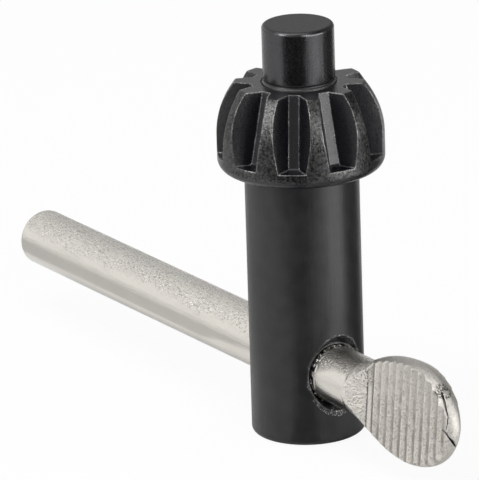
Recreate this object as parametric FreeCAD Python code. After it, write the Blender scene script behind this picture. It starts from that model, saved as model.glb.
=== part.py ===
import FreeCAD, Part
import math
import os

Vector = FreeCAD.Vector

# A chuck key: a black body with a pilot and bevel teeth, and a bar with a thumb paddle.
# Millimetres. The origin is the centre of the shank's bottom face, Z runs up the body,
# and X runs along the bar towards the paddle.

# Shank
shank_diameter = 10.0
shank_length = 24.1
shank_bottom_round = 0.45
shank_top_round = 0.4

# Head that carries the teeth
head_diameter = 14.6
head_length = 7.75
head_top_diameter = 11.3
head_band_length = 3.1
head_lower_round = 1.05
head_top_round = 0.25

# Tooth spaces: a straight root line, flanks that open in an arc, and a floor at the lower end
tooth_count = 10
tooth_phase = -4.1
space_root_width = 0.92
space_depth_at_top = 1.45
space_depth_at_floor = 1.45
space_collar = 1.5
space_floor_round = 0.3
flank_root_angle = 26.0
flank_radius = 9.0

# Pilot, with a relief neck above a fine ring at its foot, and a groove in the head round the ring
pilot_diameter = 6.3
pilot_length = 5.2
pilot_top_round = 0.35
neck_length = 0.36
neck_depth = 0.07
ring_rise = 0.05
ring_height = 0.08
ring_lean = 0.05
face_groove_width = 0.17
face_groove_depth = 0.14

# Bar
bar_diameter = 5.1
bar_height = 6.2
bar_tail_reach = 43.7
bar_end_round = 0.4

# Serrated press band on the bar, and the countersunk hole that it is pressed into
band_tooth_count = 30
band_crest = 0.08
band_groove = 0.14
band_start = -3.0
band_end = 4.5
press_gap = 0.01
mouth_rise = 0.8
mouth_angle = 45.0
mouth_lift = 0.17

# Thumb paddle: the bar's end swelled into an oval, then coined thin behind a ramp and a step
oval_start = 8.7
oval_middle = 16.8
oval_end = 22.7
oval_height = 9.1
oval_drop = 0.1
waist_start = 9.0
waist_thickness = 4.7
oval_thickness = 5.6
tip_thickness = 2.0
tip_fullness = 0.5
tip_taper = 2.5
ramp_start = 9.0
ramp_end = 11.45
ramp_end_thickness = 2.86
step_run = 0.2
wedge_start_thickness = 2.0
wedge_end_thickness = 1.5
paddle_twist = -5.1

# Ridges coined into both sides of the paddle: sharp roofs with a narrow flat between them
ridge_pitch = 1.03
ridge_height = 0.22
ridge_flank = 0.37
ridge_end_margin = 0.5

# Damage at the paddle's tip: a crack along the rim, a gash across it and a nick in the lower edge.
# Each point of a trace gives the way back from the tip, the way across from the coined face,
# the height over the bar's axis and the width of the split there.
crack_trace = ((1.8, 0.35, 3.0, 0.1), (1.17, 0.22, 2.32, 0.2), (0.49, 0.16, 1.15, 0.09),
               (0.41, 0.07, 0.65, 0.12), (0.44, 0.01, 0.0, 0.05))
crack_depth = 0.22
crack_slant = 1.7
gash_trace = ((1.13, 0.0, -0.1, 0.05), (0.46, 0.01, -0.27, 0.12), (0.28, 0.14, -0.57, 0.1),
              (0.15, 0.56, -1.06, 0.28), (0.46, 1.11, -1.65, 0.05))
gash_depth = 0.4
nick_trace = ((4.82, 0.12, -4.05, 0.2), (4.35, 0.02, -4.03, 0.26))
nick_depth = 0.2

margin = 1.0

shank_radius = shank_diameter / 2
head_radius = head_diameter / 2
head_top = shank_length + head_length
pilot_radius = pilot_diameter / 2
ring_radius = pilot_radius + ring_rise
bar_radius = bar_diameter / 2
bore_radius = bar_radius + band_crest + press_gap
step_end = ramp_end + step_run


def line(start, end):
    return Part.LineSegment(start, end).toShape()


def arc(start, middle, end):
    return Part.Arc(start, middle, end).toShape()


def polygon_face(points):
    return Part.Face(Part.makePolygon(points + points[:1]))


def round_circle(solid, radius, height, size):
    """Fillet the circular edges of one radius at one height."""
    chosen = []
    for edge in solid.Edges:
        box = edge.BoundBox
        level = abs(box.ZMin - height) < 0.001 and abs(box.ZMax - height) < 0.001
        if level and abs(box.XMax - radius) < 0.001:
            chosen.append(edge)
    return solid.makeFillet(size, chosen)


def revolve_half(edges):
    face = Part.Face(Part.Wire(edges))
    return face.revolve(Vector(0, 0, 0), Vector(0, 0, 1), 360)


def shank_and_head():
    """The turned blank: a round shank under a head with a straight band and a domed side."""
    top_radius = head_top_diameter / 2
    band_top = shank_length + head_band_length
    dome_height = head_top - band_top
    dome_drop = head_radius - top_radius
    dome_radius = (dome_drop ** 2 + dome_height ** 2) / (2 * dome_drop)
    dome_half_angle = math.asin(dome_height / dome_radius) / 2
    dome_middle = Vector(head_radius - dome_radius * (1 - math.cos(dome_half_angle)), 0,
                         band_top + dome_radius * math.sin(dome_half_angle))
    corners = [Vector(top_radius, 0, head_top),
               Vector(0, 0, head_top),
               Vector(0, 0, 0),
               Vector(shank_radius, 0, 0),
               Vector(shank_radius, 0, shank_length),
               Vector(head_radius, 0, shank_length),
               Vector(head_radius, 0, band_top)]
    edges = [line(a, b) for a, b in zip(corners, corners[1:])]
    edges.append(arc(corners[-1], dome_middle, corners[0]))
    blank = revolve_half(edges)
    blank = round_circle(blank, shank_radius, 0, shank_bottom_round)
    blank = round_circle(blank, shank_radius, shank_length, shank_top_round)
    blank = round_circle(blank, head_radius, shank_length, head_lower_round)
    return round_circle(blank, top_radius, head_top, head_top_round)


def face_groove():
    """The shallow groove that the head's top face has round the pilot's ring."""
    floor = Vector(0, 0, head_top - face_groove_depth)
    depth = face_groove_depth + margin
    disc = Part.makeCylinder(ring_radius + face_groove_width, depth, floor)
    return disc.cut(Part.makeCylinder(ring_radius, depth, floor))


def pilot():
    """The pilot pin from the head's top face up, with the ring and the neck at its foot."""
    ring_top = head_top + ring_height
    neck_middle = Vector(pilot_radius - neck_depth, 0, ring_top + neck_length / 2)
    top = head_top + pilot_length
    corners = [Vector(pilot_radius, 0, ring_top + neck_length),
               Vector(pilot_radius, 0, top),
               Vector(0, 0, top),
               Vector(0, 0, head_top - face_groove_depth),
               Vector(ring_radius + ring_lean, 0, head_top - face_groove_depth),
               Vector(ring_radius, 0, ring_top)]
    edges = [line(a, b) for a, b in zip(corners, corners[1:])]
    edges.append(arc(corners[-1], neck_middle, corners[0]))
    pin = revolve_half(edges)
    return round_circle(pin, pilot_radius, top, pilot_top_round)


def tooth_space():
    """The cutter for one space between two teeth, at the azimuth of the X axis."""
    floor = shank_length + space_collar
    floor_root = Vector(head_radius - space_depth_at_floor, 0, floor)
    top_root = Vector(head_top_diameter / 2 - space_depth_at_top, 0, head_top)
    along = (top_root - floor_root).normalize()
    outward = Vector(along.z, 0, -along.x)
    across = Vector(0, 1, 0)
    start = floor_root - along * head_length
    depth = space_depth_at_top + space_depth_at_floor + margin

    def flank_point(side, height):
        root_angle = math.radians(flank_root_angle)
        angle = math.asin(math.sin(root_angle) + height / flank_radius)
        opening = flank_radius * (math.cos(root_angle) - math.cos(angle))
        half_width = space_root_width / 2 + opening
        return start + across * (side * half_width) + outward * height

    left_root, left_middle, left_tip = (flank_point(-1, h) for h in (0, depth / 2, depth))
    right_root, right_middle, right_tip = (flank_point(1, h) for h in (0, depth / 2, depth))
    section = Part.Face(Part.Wire([line(left_root, right_root),
                                   arc(right_root, right_middle, right_tip),
                                   line(right_tip, left_tip),
                                   arc(left_tip, left_middle, left_root)]))
    cutter = section.extrude(along * (head_length * 3))
    slab = Part.makeBox(head_diameter * 2, head_diameter, head_length,
                        Vector(-head_diameter, -head_radius, floor))
    cutter = cutter.common(slab)
    floor_edges = [edge for edge in cutter.Edges if edge.BoundBox.ZMax - floor < 0.001]
    root_edge = min(floor_edges, key=lambda edge: edge.CenterOfMass.x)
    return cutter.makeFillet(space_floor_round, [root_edge])


def cross_hole():
    """The bore through the shank, with a countersunk mouth at each side."""
    bore = Part.makeCylinder(bore_radius, head_diameter * 2,
                             Vector(-head_diameter, 0, bar_height), Vector(1, 0, 0))
    slope = math.tan(math.radians(mouth_angle))
    mouth_depth = mouth_rise / slope
    length = mouth_depth + margin
    for side in (-1, 1):
        base = Vector(side * (shank_radius - mouth_depth), 0, bar_height + mouth_lift)
        bore = bore.fuse(Part.makeCone(bore_radius, bore_radius + length * slope, length, base,
                                       Vector(side, 0, 0)))
    return bore


def key_body():
    body = shank_and_head()
    space = tooth_space()
    for index in range(tooth_count):
        cutter = space.copy()
        cutter.rotate(Vector(0, 0, 0), Vector(0, 0, 1), tooth_phase + index * 360 / tooth_count)
        body = body.cut(cutter)
    return body.cut(face_groove()).fuse(pilot()).cut(cross_hole()).removeSplitter()


def plain_bar():
    length = bar_tail_reach + oval_start
    bar = Part.makeCylinder(bar_radius, length, Vector(-bar_tail_reach, 0, 0), Vector(1, 0, 0))
    tail_edges = [edge for edge in bar.Edges if abs(edge.BoundBox.XMax + bar_tail_reach) < 0.001]
    return bar.makeFillet(bar_end_round, tail_edges)


def press_band():
    """Straight serrations along the bar where it sits in the cross hole."""
    points = []
    for index in range(band_tooth_count * 2):
        angle = math.pi * index / band_tooth_count
        radius = bar_radius + band_crest - band_groove * (index % 2)
        points.append(Vector(band_start, radius * math.cos(angle), radius * math.sin(angle)))
    return polygon_face(points).extrude(Vector(band_end - band_start, 0, 0))


def eased(low, high, share):
    """A smooth step from one value to the next, level at both ends."""
    return low + (high - low) * share * share * (3 - 2 * share)


def oval_section(station, half_thickness, half_height, drop):
    """An ellipse across the bar at one station along it, its centre a little below the axis."""
    circle = Part.Wire(Part.Circle(Vector(0, 0, 0), Vector(1, 0, 0), 1).toShape())
    stretch = FreeCAD.Matrix()
    stretch.A22 = half_thickness
    stretch.A33 = half_height
    stretch.A14 = station
    stretch.A34 = -drop
    return circle.transformGeometry(stretch)


def paddle_blank():
    """The bar's end swelled into an oval, before its sides are coined flat."""
    neck_steps = 8
    tip_steps = 5
    tip_angle = math.radians(89)
    join_sharpness = 8
    half_height = oval_height / 2
    neck_span = oval_middle - oval_start
    tip_span = oval_end - oval_middle
    sections = []
    for step in range(neck_steps + 1):
        share = step / neck_steps
        station = oval_start + neck_span * share
        oval = half_height * math.sqrt(1 - (1 - share) ** 2)
        height = (bar_radius ** join_sharpness + oval ** join_sharpness) ** (1 / join_sharpness)
        if station < waist_start:
            thickness = bar_radius
        elif station < ramp_end:
            thickness = eased(bar_radius, waist_thickness / 2,
                              (station - waist_start) / (ramp_end - waist_start))
        else:
            thickness = eased(waist_thickness / 2, oval_thickness / 2,
                              (station - ramp_end) / (oval_middle - ramp_end))
        sections.append(oval_section(station, thickness, height, eased(0, oval_drop, share)))
    for step in range(1, tip_steps + 1):
        angle = tip_angle * step / tip_steps
        fall = math.cos(angle)
        thickness = tip_thickness / 2 * fall ** tip_fullness
        thickness += (oval_thickness - tip_thickness) / 2 * fall ** tip_taper
        sections.append(oval_section(oval_middle + tip_span * math.sin(angle), thickness,
                                     half_height * fall, oval_drop))
    return Part.makeLoft(sections, True)


def coined_face(station):
    """How far the coined wedge's -Y side lies from the bar's axis plane."""
    share = (station - step_end) / (oval_end - step_end)
    return -(wedge_start_thickness + (wedge_end_thickness - wedge_start_thickness) * share) / 2


def coining_die():
    """What the dies take off the -Y side: a ramp, a step down, then a wedge face with ridges."""
    ramp_slope = (bar_radius - ramp_end_thickness / 2) / (ramp_end - ramp_start)
    outer = -bar_radius - margin
    end = oval_end + margin
    points = [Vector(ramp_start - margin / ramp_slope, outer, 0),
              Vector(ramp_end, -ramp_end_thickness / 2, 0)]
    count = int((oval_end - ridge_end_margin - step_end) / ridge_pitch)
    for index in range(count):
        foot = step_end + index * ridge_pitch
        crest = foot + ridge_flank
        far_foot = crest + ridge_flank
        points.append(Vector(foot, coined_face(foot), 0))
        points.append(Vector(crest, coined_face(crest) - ridge_height, 0))
        points.append(Vector(far_foot, coined_face(far_foot), 0))
    points.append(Vector(end, coined_face(end), 0))
    points.append(Vector(end, outer, 0))
    die = polygon_face(points).extrude(Vector(0, 0, oval_height * 2))
    die.translate(Vector(0, 0, -oval_height))
    return die


def split(trace, depth, aim):
    """A V-shaped split along a trace on the paddle's skin, cut in towards a point within."""
    points = []
    for back, across, height, _ in trace:
        station = oval_end - back
        points.append(Vector(station, coined_face(station) + across, height))
    sections = []
    for index, point in enumerate(points):
        width = trace[index][-1]
        inward = (aim - point).normalize()
        along = points[min(index + 1, len(points) - 1)] - points[max(index - 1, 0)]
        aside = along.cross(inward).normalize() * width
        mouth = point - inward * depth
        bottom = point + inward * depth
        sections.append(Part.makePolygon([mouth + aside, mouth - aside, bottom, mouth + aside]))
    return Part.makeLoft(sections, True, True)


def handle_bar():
    front_die = coining_die()
    back_die = front_die.mirror(Vector(0, 0, 0), Vector(0, 1, 0))
    paddle = paddle_blank().cut(front_die).cut(back_die)
    heart = Vector(oval_middle, 0, -oval_drop)
    tip_back = Vector(oval_end - crack_slant, bar_radius, 0)
    for trace, depth, aim in ((crack_trace, crack_depth, tip_back),
                              (gash_trace, gash_depth, heart),
                              (nick_trace, nick_depth, heart)):
        paddle = paddle.cut(split(trace, depth, aim))
    handle = plain_bar().fuse(press_band()).fuse(paddle).removeSplitter()
    handle.rotate(Vector(0, 0, 0), Vector(1, 0, 0), paddle_twist)
    handle.translate(Vector(0, 0, bar_height))
    return handle


os.makedirs("parts", exist_ok=True)
for name, shape in (("key_body", key_body()), ("handle_bar", handle_bar())):
    print(name, "solids", len(shape.Solids), "valid", shape.isValid(), "volume",
          round(shape.Volume, 2))
    shape.exportStep("parts/" + name + ".step")
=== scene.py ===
# %% [markdown]
# A drill chuck key stands on its round end. Its body is one turned and milled piece of
# blackened steel: a shank, a bevel pinion and a round pilot. A bright plated bar is pressed
# through the shank and ends in a thumb paddle with ridges.
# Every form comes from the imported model, which already has the right sizes. What is left for
# Blender is the light, the camera and the two metal finishes.

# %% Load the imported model
import math

import bpy
from mathutils import Matrix, Vector


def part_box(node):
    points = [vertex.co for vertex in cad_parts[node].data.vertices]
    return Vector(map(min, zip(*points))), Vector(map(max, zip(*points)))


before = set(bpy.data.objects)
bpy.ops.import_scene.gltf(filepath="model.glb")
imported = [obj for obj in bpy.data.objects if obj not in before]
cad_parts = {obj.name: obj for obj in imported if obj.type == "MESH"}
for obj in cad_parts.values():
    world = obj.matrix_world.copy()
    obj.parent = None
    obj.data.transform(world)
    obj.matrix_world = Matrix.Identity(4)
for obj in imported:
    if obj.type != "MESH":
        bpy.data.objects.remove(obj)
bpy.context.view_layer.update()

mm = 0.001
for node in sorted(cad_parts):
    low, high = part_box(node)
    print(node, "from", [round(v / mm, 2) for v in low], "to", [round(v / mm, 2) for v in high])

# %% [markdown]
# The photograph was taken from far away with a long lens, so its edges hardly converge.
# The camera stands off to the paddle's side, looks down a little and is rolled by under two
# degrees. It could be placed by eye, but then the outlines never quite meet. So its place
# comes from the view angles, the distance to the foot of the key and how far the foot lies
# from the middle of the picture, which were all fitted to the outlines.

# %% Camera
picture_height = 480
focal_pixels = 7000
sensor = 36.0
view_azimuth = math.radians(57.10)
view_elevation = math.radians(18.525)
view_roll = math.radians(1.8013)
view_distance = 615.105 * mm
foot_right = 6.103 * mm
foot_up = -16.412 * mm


def direction(azimuth, elevation):
    """The unit vector from the key to a place round it. Azimuth 0 is at -Y and 90 at +X."""
    flat = math.cos(elevation)
    return Vector((math.sin(azimuth) * flat, -math.cos(azimuth) * flat, math.sin(elevation)))


backward = direction(view_azimuth, view_elevation)
level_right = Vector((math.cos(view_azimuth), math.sin(view_azimuth), 0))
level_up = backward.cross(level_right)
right = level_right * math.cos(view_roll) - level_up * math.sin(view_roll)
up = level_right * math.sin(view_roll) + level_up * math.cos(view_roll)

camera = bpy.data.objects.new("camera", bpy.data.cameras.new("camera"))
bpy.context.scene.collection.objects.link(camera)
camera.data.sensor_width = sensor
camera.data.lens = focal_pixels * sensor / picture_height
turn = Matrix((right, up, backward)).transposed().to_4x4()
place = backward * view_distance - right * foot_right - up * foot_up
camera.matrix_world = Matrix.Translation(place) @ turn
bpy.context.scene.camera = camera
print("camera at", [round(v, 3) for v in place], "lens", camera.data.lens)

# %% [markdown]
# A finish is a node tree. Reading one is easier when its arithmetic looks like arithmetic, so
# a small class wraps a socket and turns + - * / and ** into Math nodes. The forms with the
# number first, such as 1 - mask, have methods of their own in Python.


# %% Shader arithmetic
class Value:
    """A number that nodes work out. Arithmetic on it adds Math nodes."""

    def __init__(self, nodes, socket):
        self.nodes = nodes
        self.socket = socket

    def math(self, operation, *terms):
        return self.nodes.node("ShaderNodeMath", {"operation": operation}, dict(enumerate(terms)))

    def __add__(self, other):
        return self.math("ADD", self, other)

    def __radd__(self, other):
        return self.math("ADD", other, self)

    def __sub__(self, other):
        return self.math("SUBTRACT", self, other)

    def __rsub__(self, other):
        return self.math("SUBTRACT", other, self)

    def __mul__(self, other):
        return self.math("MULTIPLY", self, other)

    def __rmul__(self, other):
        return self.math("MULTIPLY", other, self)

    def __truediv__(self, other):
        return self.math("DIVIDE", self, other)

    def __pow__(self, other):
        return self.math("POWER", self, other)

    def __abs__(self):
        return self.math("ABSOLUTE", self)

    def fraction(self):
        return self.math("FRACT", self)

    def larger(self, other):
        return self.math("MAXIMUM", self, other)


print("arithmetic ready")

# %% [markdown]
# Every other node comes from one method, which takes the node's type, its settings and what
# goes into its sockets. A world has a node tree too, so the room is made with the same class
# as the metals. A step is the shape of nearly every mask: nothing up to one place, all of it
# after another, and a smooth rise between them.


# %% Node trees
class Nodes:
    """The node tree of a material or a world."""

    def __init__(self, owner):
        owner.use_nodes = True
        self.owner = owner
        self.tree = owner.node_tree
        self.tree.nodes.clear()

    def node(self, kind, settings=None, sockets=None, output=0):
        made = self.tree.nodes.new(kind)
        for key, value in (settings or {}).items():
            setattr(made, key, value)
        for key, value in (sockets or {}).items():
            if isinstance(value, Value):
                self.tree.links.new(value.socket, made.inputs[key])
            else:
                made.inputs[key].default_value = value
        return Value(self, made.outputs[output])

    def step(self, value, start, end, before=0, after=1):
        return self.node("ShaderNodeMapRange", {"interpolation_type": "SMOOTHSTEP"},
                         {"Value": value, "From Min": start, "From Max": end,
                          "To Min": before, "To Max": after})

    def end(self, surface, kind="ShaderNodeOutputMaterial"):
        output = self.tree.nodes.new(kind)
        self.tree.links.new(surface.socket, output.inputs["Surface"])
        return self.owner


print("node trees ready")

# %% [markdown]
# The metals share a few more tools. The model's own coordinates, in millimetres, find the
# parts of a piece. Noise gives grain and clouds. A Bevel node works out the normal that a
# rounded edge would have. Used as the normal it takes the knife sharpness off every edge, and
# set against the plain normal it tells how near an edge is, which is where wear goes.


# %% Metal tools
class Finish(Nodes):
    """A metal's material."""

    def __init__(self, name):
        super().__init__(bpy.data.materials.new(name))

    def place(self):
        """A point of the model in metres, and its x, y and z in millimetres."""
        point = self.node("ShaderNodeTexCoord", output="Object")
        parts = self.node("ShaderNodeSeparateXYZ", {}, {0: point}).socket.node.outputs
        return point, [Value(self, parts[axis]) / mm for axis in "XYZ"]

    def noise(self, place, scale, detail=3.0, roughness=0.5):
        return self.node("ShaderNodeTexNoise", {},
                         {"Vector": place, "Scale": scale, "Detail": detail,
                          "Roughness": roughness})

    def stretched(self, place, scale):
        return self.node("ShaderNodeMapping", {}, {0: place, "Scale": scale})

    def colour(self, share, first, second):
        """The first colour, with a share of the second laid over it."""
        first, second = (c if isinstance(c, Value) else (*c, 1) for c in (first, second))
        return self.node("ShaderNodeMix", {"data_type": "RGBA"},
                         {"Factor": share, 6: first, 7: second}, output=2)

    def rounded(self, radius):
        return self.node("ShaderNodeBevel", {"samples": 8}, {"Radius": radius})

    def edge(self, radius):
        """0 on an even surface, and more the further a rounded edge would turn it."""
        plain = self.node("ShaderNodeNewGeometry", output="Normal")
        return 1 - self.node("ShaderNodeVectorMath", {"operation": "DOT_PRODUCT"},
                             {0: self.rounded(radius), 1: plain}, output="Value")

    def relief(self, height, depth, edge_radius):
        return self.node("ShaderNodeBump", {},
                         {"Strength": 1.0, "Distance": depth, "Height": height,
                          "Normal": self.rounded(edge_radius)})


print("metal tools ready")

# %% [markdown]
# The key stands on white paper. To the camera the paper is simply white, with a little of the
# real light mixed in so that the foot of the key keeps its soft contact shadow. To the metal
# the paper is a pale surface that it can mirror.

# %% Floor
floor_reach = 1.5
floor_white = 0.76
shadow_share = 0.08


def stage_sheet(name, corners, material):
    """A flat sheet of the studio, not part of the key."""
    mesh = bpy.data.meshes.new(name)
    mesh.from_pydata(corners, [], [tuple(range(len(corners)))])
    mesh.materials.append(material)
    sheet = bpy.data.objects.new(name, mesh)
    bpy.context.scene.collection.objects.link(sheet)
    return sheet


def paper():
    finish = Finish("paper")
    seen = finish.node("ShaderNodeLightPath", output="Is Camera Ray")
    real = finish.node("ShaderNodeBsdfDiffuse", {}, {"Color": (floor_white,) * 3 + (1,)})
    flat = finish.node("ShaderNodeEmission", {}, {"Color": (1, 1, 1, 1), "Strength": 1.0})
    return finish.end(finish.node("ShaderNodeMixShader", {},
                                  {0: seen * (1 - shadow_share), 1: real, 2: flat}))


stage_sheet("floor", [(-floor_reach, -floor_reach, 0), (floor_reach, -floor_reach, 0),
                      (floor_reach, floor_reach, 0), (-floor_reach, floor_reach, 0)], paper())
bpy.context.scene.view_settings.view_transform = "Standard"
print("floor", floor_reach, "m each way")

# %% [markdown]
# The room is pale to the left of the camera and behind the key, dim on the right, and a little
# darker overhead than at eye level, as in a studio where only the set is lit. A world shader
# does this with two gradients over the direction, one round the horizon and one upwards. The
# camera itself sees plain white there.

# %% Room
pale_room = 1.0
dim_room = 0.28
high_room = 0.6
pale_side = math.radians(-105)


def room():
    world = bpy.data.worlds.new("room")
    bpy.context.scene.world = world
    sky = Nodes(world)
    look = sky.node("ShaderNodeTexCoord", output="Generated")
    toward = sky.node("ShaderNodeVectorMath", {"operation": "DOT_PRODUCT"},
                      {0: look, 1: direction(view_azimuth + pale_side, 0)}, output="Value")
    height = sky.node("ShaderNodeSeparateXYZ", {}, {0: look}, output="Z")
    strength = sky.step(toward, -0.4, 0.7, dim_room, pale_room) \
        * sky.step(height, 0.42, 0.62, 1, high_room)
    lit = sky.node("ShaderNodeBackground", {}, {"Color": (1, 1, 1, 1), "Strength": strength})
    seen = sky.node("ShaderNodeBackground", {}, {"Color": (1, 1, 1, 1)})
    looks = sky.node("ShaderNodeLightPath", output="Is Camera Ray")
    sky.end(sky.node("ShaderNodeMixShader", {}, {0: looks, 1: lit, 2: seen}),
            "ShaderNodeOutputWorld")


room()
print("room from", dim_room, "on the right to", pale_room, "on the left")

# %% [markdown]
# Four soft boxes light the key. Each stands where a certain face mirrors it: a narrow tall one
# at the left draws the grainy streak on the left tooth, another near the camera does the same
# on the right tooth, a wide low one at the right shines on the pilot's side and the right
# tooth space, and a large one overhead lights the tops. Radiance 1 is as bright as lit paper.

# %% Soft boxes
aim = Vector((0, 0, 18 * mm))
camera_azimuth = math.degrees(view_azimuth)


def soft_box(name, azimuth, elevation, distance, width, height, radiance):
    """An area light round the key. Its azimuth is counted from the camera's, to the right."""
    lamp = bpy.data.lights.new(name, "AREA")
    lamp.shape = "RECTANGLE"
    lamp.size = width
    lamp.size_y = height
    lamp.energy = radiance * math.pi * width * height
    toward = direction(math.radians(camera_azimuth + azimuth), math.radians(elevation))
    box = bpy.data.objects.new(name, lamp)
    box.location = aim + toward * distance
    box.rotation_mode = "QUATERNION"
    box.rotation_quaternion = toward.to_track_quat("Z", "Y")
    bpy.context.scene.collection.objects.link(box)


soft_box("left_box", -58, 32, 0.5, 0.12, 0.26, 11.0)
soft_box("right_box", 29, 26, 0.5, 0.07, 0.22, 12.0)
soft_box("side_box", 58, 5, 0.5, 0.44, 0.20, 5.5)
soft_box("top_box", -60, 78, 0.6, 0.6, 0.6, 1.7)

# %% [markdown]
# A vertical steel wall seen from above mirrors the paper in front of it, not the room. So sheets
# are laid there that show in mirror images alone and paint what the metal reflects. A grey one at
# the foot paints the key's shade on the paper there, and a black one further out keeps the dark
# stripe down the middle, both as painted dark reflections. A dark one at the far right ends the
# right stripe. A glowing one, which is no lamp and lights nothing, paints that stripe as a
# painted reflection. A grey one beside the bar paints the bar's shade on the paper and draws the
# soft band along its underside. The paper stays white and throws its own light.

# %% Cards seen only in mirror images
card_lift = 0.05 * mm


def card(name, grey, corners, glow=0):
    """A sheet on the floor seen only in mirror images: grey, or glowing without a lamp as a
    painted reflection.
    """
    finish = Finish(name)
    if glow:
        cloth = finish.node("ShaderNodeEmission", {}, {"Strength": glow})
    else:
        cloth = finish.node("ShaderNodeBsdfDiffuse", {}, {"Color": (grey,) * 3 + (1,)})
    lifted = [corner + Vector((0, 0, card_lift)) for corner in corners]
    sheet = stage_sheet(name, lifted, finish.end(cloth))
    sheet.visible_camera = False
    sheet.visible_diffuse = False
    sheet.visible_shadow = False


def sector(from_side, to_side, near, far):
    """Corners of a sheet that spreads from the key between two azimuths beside the camera's."""
    ends = [direction(math.radians(camera_azimuth + side), 0) for side in (from_side, to_side)]
    return [ends[0] * near, ends[1] * near, ends[1] * far, ends[0] * far]


# painted shade: a grey sheet at the foot, seen only in mirror images, for the key's shade on the
# paper
card("foot_shade_sheet", 0.18, sector(-24, 13, 5.5 * mm, 80 * mm))
# painted dark reflection: a black sheet further out, seen only in mirror images
card("front_dark_sheet", 0.02, sector(-52, 27, 80 * mm, 0.6))
# painted dark reflection at the far right, seen only in mirror images
card("right_dark_sheet", 0.12, sector(84, 140, 14 * mm, 0.6))
# painted reflection: a glowing sheet that is no lamp, lights nothing and shows only in mirror
# images
card("glowing_sheet", 1, sector(48, 80, 38 * mm, 92 * mm), glow=3.2)
# painted shade: a grey sheet beside the bar, seen only in mirror images, for the bar's shade on
# the paper
card("bar_shade_sheet", 0.54, [Vector((-0.12, -0.030, 0)), Vector((-0.02, -0.030, 0)),
                        Vector((-0.02, -0.004, 0)), Vector((-0.12, -0.004, 0))])

# %% [markdown]
# Blackened steel is steel with a thin skin of black oxide under a film of oil. The body shows
# it in several states, so the finish first finds the parts: the pilot with its end face, the
# head, and on the head the lands, which are what is left of the domed blank between the tooth
# spaces. A land could be painted on by hand. Here the dome's own arc tells it from a space: a
# point that lies on the arc is land, and one below it is a cut face.

# %% Parts of the body
head_bottom = 24.1
head_top = 31.85
pilot_top = 37.05
band_top = 27.2
band_radius = 7.3
dome_radius = 7.377

steel = Finish("blackened_steel")
point, (x, y, z) = steel.place()
radius = (x * x + y * y) ** 0.5
above = (z - band_top).larger(0)
dome = band_radius - dome_radius + (dome_radius ** 2 - above * above) ** 0.5
pilot = steel.step(z, head_top + 0.35, head_top + 0.5)
head = steel.step(z, head_bottom - 0.3, head_bottom + 0.3) \
    * (1 - steel.step(z, head_top - 0.1, head_top + 0.1))
land = head * steel.step(radius - dome, -0.09, -0.03)
end_face = steel.step(z, pilot_top - 0.12, pilot_top - 0.04)
print("head from", head_bottom, "to", head_top, "mm, pilot up to", pilot_top, "mm")

# %% [markdown]
# The skin is nearly black and a little blue, and mirrors only faintly. The spaces keep the
# unworn skin and are painted darker still as a painted shade. On the lands the skin is rubbed
# thin, so bare steel greys them grain by grain.
# The pilot is ground before it is blackened and shines like dark metal. Each of these is a mix
# of two near shades by a noise, from clouds of some millimetres to grain of a quarter of one.

# %% Black skin
cloud_scale = 220
patch_scale = 700
grain_scale = 4200
speck_scale = 9000

soft = steel.noise(point, cloud_scale, 4)
patch = steel.noise(point, patch_scale, 3)
grain = steel.noise(point, grain_scale, 3, 0.65)
speck = steel.noise(point, speck_scale, 2, 0.6)
drawn = steel.noise(steel.stretched(point, (1, 1, 0.06)), 4000, 3, 0.6)

skin = steel.colour(steel.step(patch, 0.3, 0.7), (0.004, 0.004, 0.0046), (0.010, 0.010, 0.011))
# the tooth spaces: unworn black skin, painted darker than the skin elsewhere as a painted shade
recess_black_and_shade = steel.colour(grain, (0.001, 0.001, 0.0015), (0.007, 0.007, 0.010))
rubbed = steel.colour(steel.step(grain, 0.30, 0.70), (0.020, 0.020, 0.021), (0.090, 0.090, 0.088))
sheen = steel.colour(soft, (0.064, 0.064, 0.068), (0.090, 0.090, 0.092))
colour = steel.colour(head, skin, steel.colour(land, recess_black_and_shade, rubbed))
colour = steel.colour(pilot, colour, steel.colour(end_face, sheen, (0.055, 0.055, 0.056)))
print("skin, recess, land and sheen mixed")

# %% [markdown]
# The skin wears through to bare steel first at sharp edges, which show as broken pale lines.
# The lands carry bright specks, most of them near an edge. At the near mouth of the cross hole
# the pressed bar has left crumbs of bright metal on the countersunk cone and nowhere else.

# %% Bare steel
bar_height = 6.2
bore_radius = 2.89
mouth_bottom = 4.2
mouth_start = 2.5

wear = steel.step(patch, 0.35, 0.62) * 0.75 + 0.25
line = steel.step(steel.edge(0.3 * mm), 0.015, 0.14) * steel.step(speck, 0.28, 0.64) * wear
rub = steel.step(steel.edge(0.7 * mm), 0.004, 0.12) * steel.step(patch, 0.40, 0.60)
glint = land * steel.step(speck, 0.54, 0.66) * (rub + 0.15)
from_bar = (y * y + (z - bar_height) ** 2) ** 0.5
cone = bore_radius + (x - mouth_bottom).larger(0)
mouth = steel.step(x, mouth_start, mouth_start + 0.5) * steel.step(cone - from_bar, -0.10, 0.02)
crumb = mouth * steel.step(speck, 0.55, 0.62) * steel.step(patch, 0.46, 0.56)
bare = (line * 0.7).larger(glint * 0.6).larger(crumb)
print("bare steel at edges, on lands and in the mouth of the hole")

# %% [markdown]
# Last come the gloss and the relief. The pilot's wall is the smoothest part and its end face
# the dullest. Fine lines run along the body. The grain's relief is kept low: a deep one would
# scatter the soft boxes' light and lose the streaks on the lands.

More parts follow.
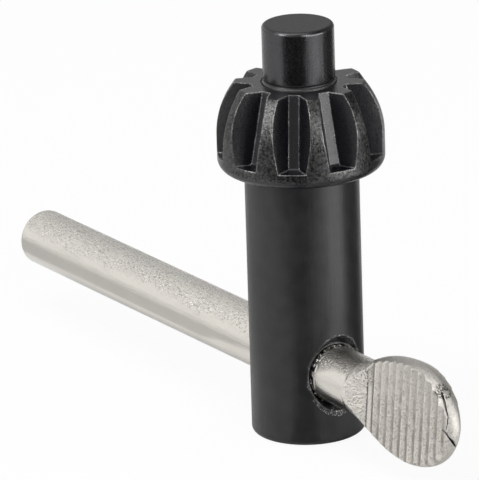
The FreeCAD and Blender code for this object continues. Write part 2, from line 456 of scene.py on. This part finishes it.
# %% Blackened steel
roughness = 0.36 - head * 0.07 + land * 0.02 - pilot * 0.10 + end_face * 0.22 \
    + (grain - 0.5) * (0.15 + land * 0.2) + (drawn - 0.5) * 0.12
height = grain * (0.08 + land * 0.22 + head * 0.05 - pilot * 0.05) \
    + speck * (0.05 + land * 0.2 - pilot * 0.02) + drawn * 0.15
black_relief = 0.08 * mm
black_edge = 0.14 * mm
black = steel.end(steel.node("ShaderNodeBsdfPrincipled", {}, {
    "Base Color": steel.colour(bare, colour, (0.5, 0.5, 0.49)),
    "Metallic": bare.larger(pilot + land),
    "Roughness": roughness,
    "Normal": steel.relief(height, black_relief, black_edge),
    "IOR": 1.5}))
print("finish", black.name)

# %% [markdown]
# The bar is drawn steel under a thin bright plating, and its parts are found along its length:
# the ramp where the coining begins, a small step, and the paddle with its ridges and its plain
# rim. The ridges repeat, so the fraction of the distance over their pitch tells a crest from a
# groove. The grooves get a painted shade on the near face alone, and the crests a painted
# highlight.

# %% Parts of the bar
ramp_start = 9.0
ramp_end = 11.45
step_end = 11.65
ridge_pitch = 1.03
ridge_flank = 0.37

plate = Finish("bright_plating")
point, (x, y, z) = plate.place()
near_face = plate.step(0 - y, 0.2, 0.6)
paddle = plate.step(x, step_end - 0.03, step_end + 0.05)
ramp = plate.step(x, ramp_start, ramp_start + 0.5) \
    * (1 - plate.step(x, ramp_end - 0.1, ramp_end)) * near_face
rim = paddle * plate.step(y, -0.85, -0.55) * (1 - plate.step(y, 0.55, 0.85))
from_crest = abs(((x - step_end) / ridge_pitch).fraction() - ridge_flank / ridge_pitch)
# painted shade: the grooves between the ridges, on the near face only
groove_shade = plate.step(from_crest, 0.26, 0.38) * (paddle - rim) * near_face
# painted highlight: the crests of the ridges
crest_highlight = (1 - plate.step(from_crest, 0.03, 0.10)) * (paddle - rim)
print("ramp to", ramp_end, "mm, ridges every", ridge_pitch, "mm after", step_end, "mm")

# %% [markdown]
# The plating is not even. Clouds change its shade and gloss, drawing has left lines along the
# bar, and the upper side and the coined faces have a sandy grain with small pits. Crevices get a
# painted shade where ambient occlusion finds them, and dirt sits in the press band by the body.
# The paddle's tip is chipped in one spot, and a dotted line of painted shade marks the top of the
# ramp.

# %% Wear and painted shade of the plating
grime_start = 4.0
grime_end = 4.95
chip_along = 20.9
chip_height = 9.2
hollow_reach = 0.22 * mm

cloud = plate.noise(point, 300, 4)
scratch = plate.noise(plate.stretched(point, (0.05, 1, 1)), 6000, 3, 0.6)
grain = plate.noise(point, 5600, 3, 0.65)
burr = plate.noise(point, 1500, 3, 0.6)

upper = plate.step(z - bar_height + (cloud - 0.5) * 2, 0.9, 1.9) * (1 - paddle)
sand = ramp + paddle
worn = plate.step(burr, 0.35, 0.60)
open_sky = plate.node("ShaderNodeAmbientOcclusion", {"samples": 8}, {"Distance": hollow_reach},
                      output="AO")
# painted shade: ambient occlusion darkens the crevices
crevice_shade = plate.step(1 - open_sky, 0.30, 0.70)
pit = plate.step(grain, 0.50, 0.64) * (upper * 0.7 + sand * 0.55 + 0.06)
grime = (1 - plate.step(x, grime_end - 0.3, grime_end)) \
    * plate.step(x, grime_start, grime_start + 0.3) * (1 - plate.step(burr, 0.47, 0.54))
spread = ((x - chip_along) / 0.9) ** 2 + (y / 0.8) ** 2 + ((z - chip_height) / 0.8) ** 2
chip = plate.step(1 - spread, 0, 0.4) * plate.step(grain, 0.44, 0.54)
# painted shade: a dotted dark line at the top of the ramp
ramp_end_shade = plate.step(x, ramp_end - 0.16, ramp_end - 0.1) * ramp * plate.step(grain, 0.36, 0.52)
print("clouds, lines, grain, pits, crevices, grime and the chip")

# %% [markdown]
# The colours are laid on like washes, one over the other, from the broad ones to the small
# ones. Plating reflects with its own warm tint, so these are the shades that a mirror image
# takes on. The finish is a metal all over, and only its shade, gloss and relief change.

# %% Bright plating
washes = ((sand * 0.8, (0.72, 0.685, 0.632)),
          (rim * 0.7, (0.50, 0.48, 0.45)),
          # painted shade in the grooves, made uneven by a noise
          (groove_shade * (0.25 + worn * 0.5), (0.33, 0.30, 0.27)),
          # painted highlight on the crests, made uneven by a noise
          (crest_highlight * (0.85 - worn * 0.4), (0.90, 0.88, 0.84)),
          # painted shade in the crevices
          (crevice_shade, (0.02, 0.018, 0.016)),
          (pit, (0.30, 0.29, 0.28)),
          # the chip is real damage, and the dotted line at the top of the ramp is painted shade
          (chip * 0.9 + ramp_end_shade * 0.8, (0.05, 0.045, 0.04)),
          (grime, (0.012, 0.012, 0.012)))
colour = plate.colour(cloud, (0.690, 0.662, 0.608), (0.760, 0.732, 0.676))
for share, shade in washes:
    colour = plate.colour(share, colour, shade)
roughness = 0.15 + (cloud - 0.5) * 0.12 + (scratch - 0.5) * 0.12 + upper * 0.12 \
    + ramp * 0.16 + paddle * 0.22 + rim * 0.08 + grime * 0.3
height = scratch * 0.3 + grain * (upper * 1.2 + sand * 1.3 + grime * 2 + 0.1)
bright_relief = 0.06 * mm
bright_edge = 0.09 * mm
bright = plate.end(plate.node("ShaderNodeBsdfPrincipled", {}, {
    "Base Color": colour,
    "Metallic": 1.0,
    "Roughness": roughness,
    "Normal": plate.relief(height, bright_relief, bright_edge)}))
print("finish", bright.name, "in", len(washes), "washes")

# %% [markdown]
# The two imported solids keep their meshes. Only their material slots change, and the record's
# node names tell which finish goes where.

# %% Dress the two pieces
for name, material in (("key_body", black), ("handle_bar", bright)):
    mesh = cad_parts[name].data
    mesh.materials.clear()
    mesh.materials.append(material)
    print(name, len(mesh.polygons), "triangles in", material.name)
